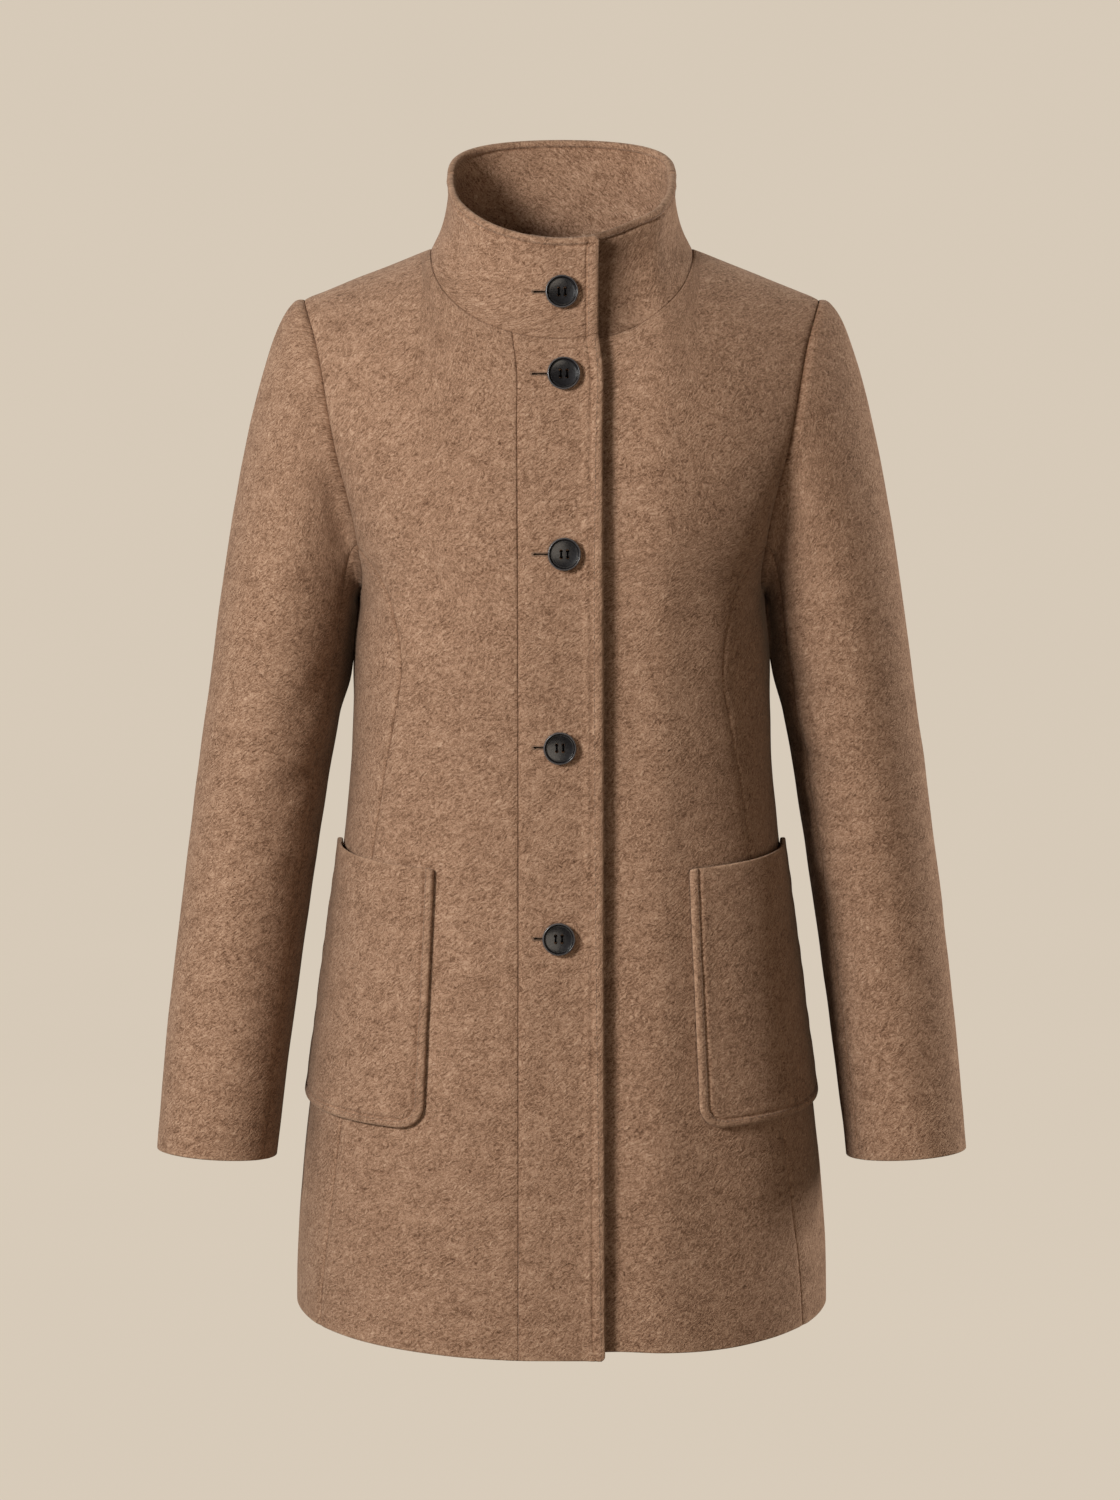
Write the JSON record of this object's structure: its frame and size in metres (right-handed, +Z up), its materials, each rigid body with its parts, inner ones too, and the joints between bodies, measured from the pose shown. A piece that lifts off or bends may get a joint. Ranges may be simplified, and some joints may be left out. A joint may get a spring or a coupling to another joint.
{
  "type": "funnel-neck wool coat",
  "caption": "Single-breasted funnel-neck coat of brushed wool, hollow in its worn shape, with set-in sleeves, princess seams, patch pockets and a buttoned band.",
  "frame": {"origin": "on the line through the two points where the neck seam meets the shoulder seams, on the centre plane, where the wearer's shoulders carry the coat", "axes": "+Z up, -Y to the coat's front, +X to the wearer's left"},
  "size_m": [0.6012, 0.3016, 0.8687],
  "materials": {
    "wool": "heathered warm brown brushed and felted wool, matt with a soft nap",
    "button": "near-black horn-like resin, satin, four thread holes"
  },
  "bodies": {
    "root": {"back": "wool", "front_right": "wool", "front_left": "wool", "side_front_right": "wool", "side_front_left": "wool", "button_band": "wool", "sleeve_upper_right": "wool", "sleeve_upper_left": "wool", "sleeve_under_right": "wool", "sleeve_under_left": "wool", "collar": "wool", "pocket_right": "wool", "pocket_left": "wool", "button_1": "button", "button_2": "button", "button_3": "button", "button_4": "button", "button_5": "button"}
  },
  "joints": []
}
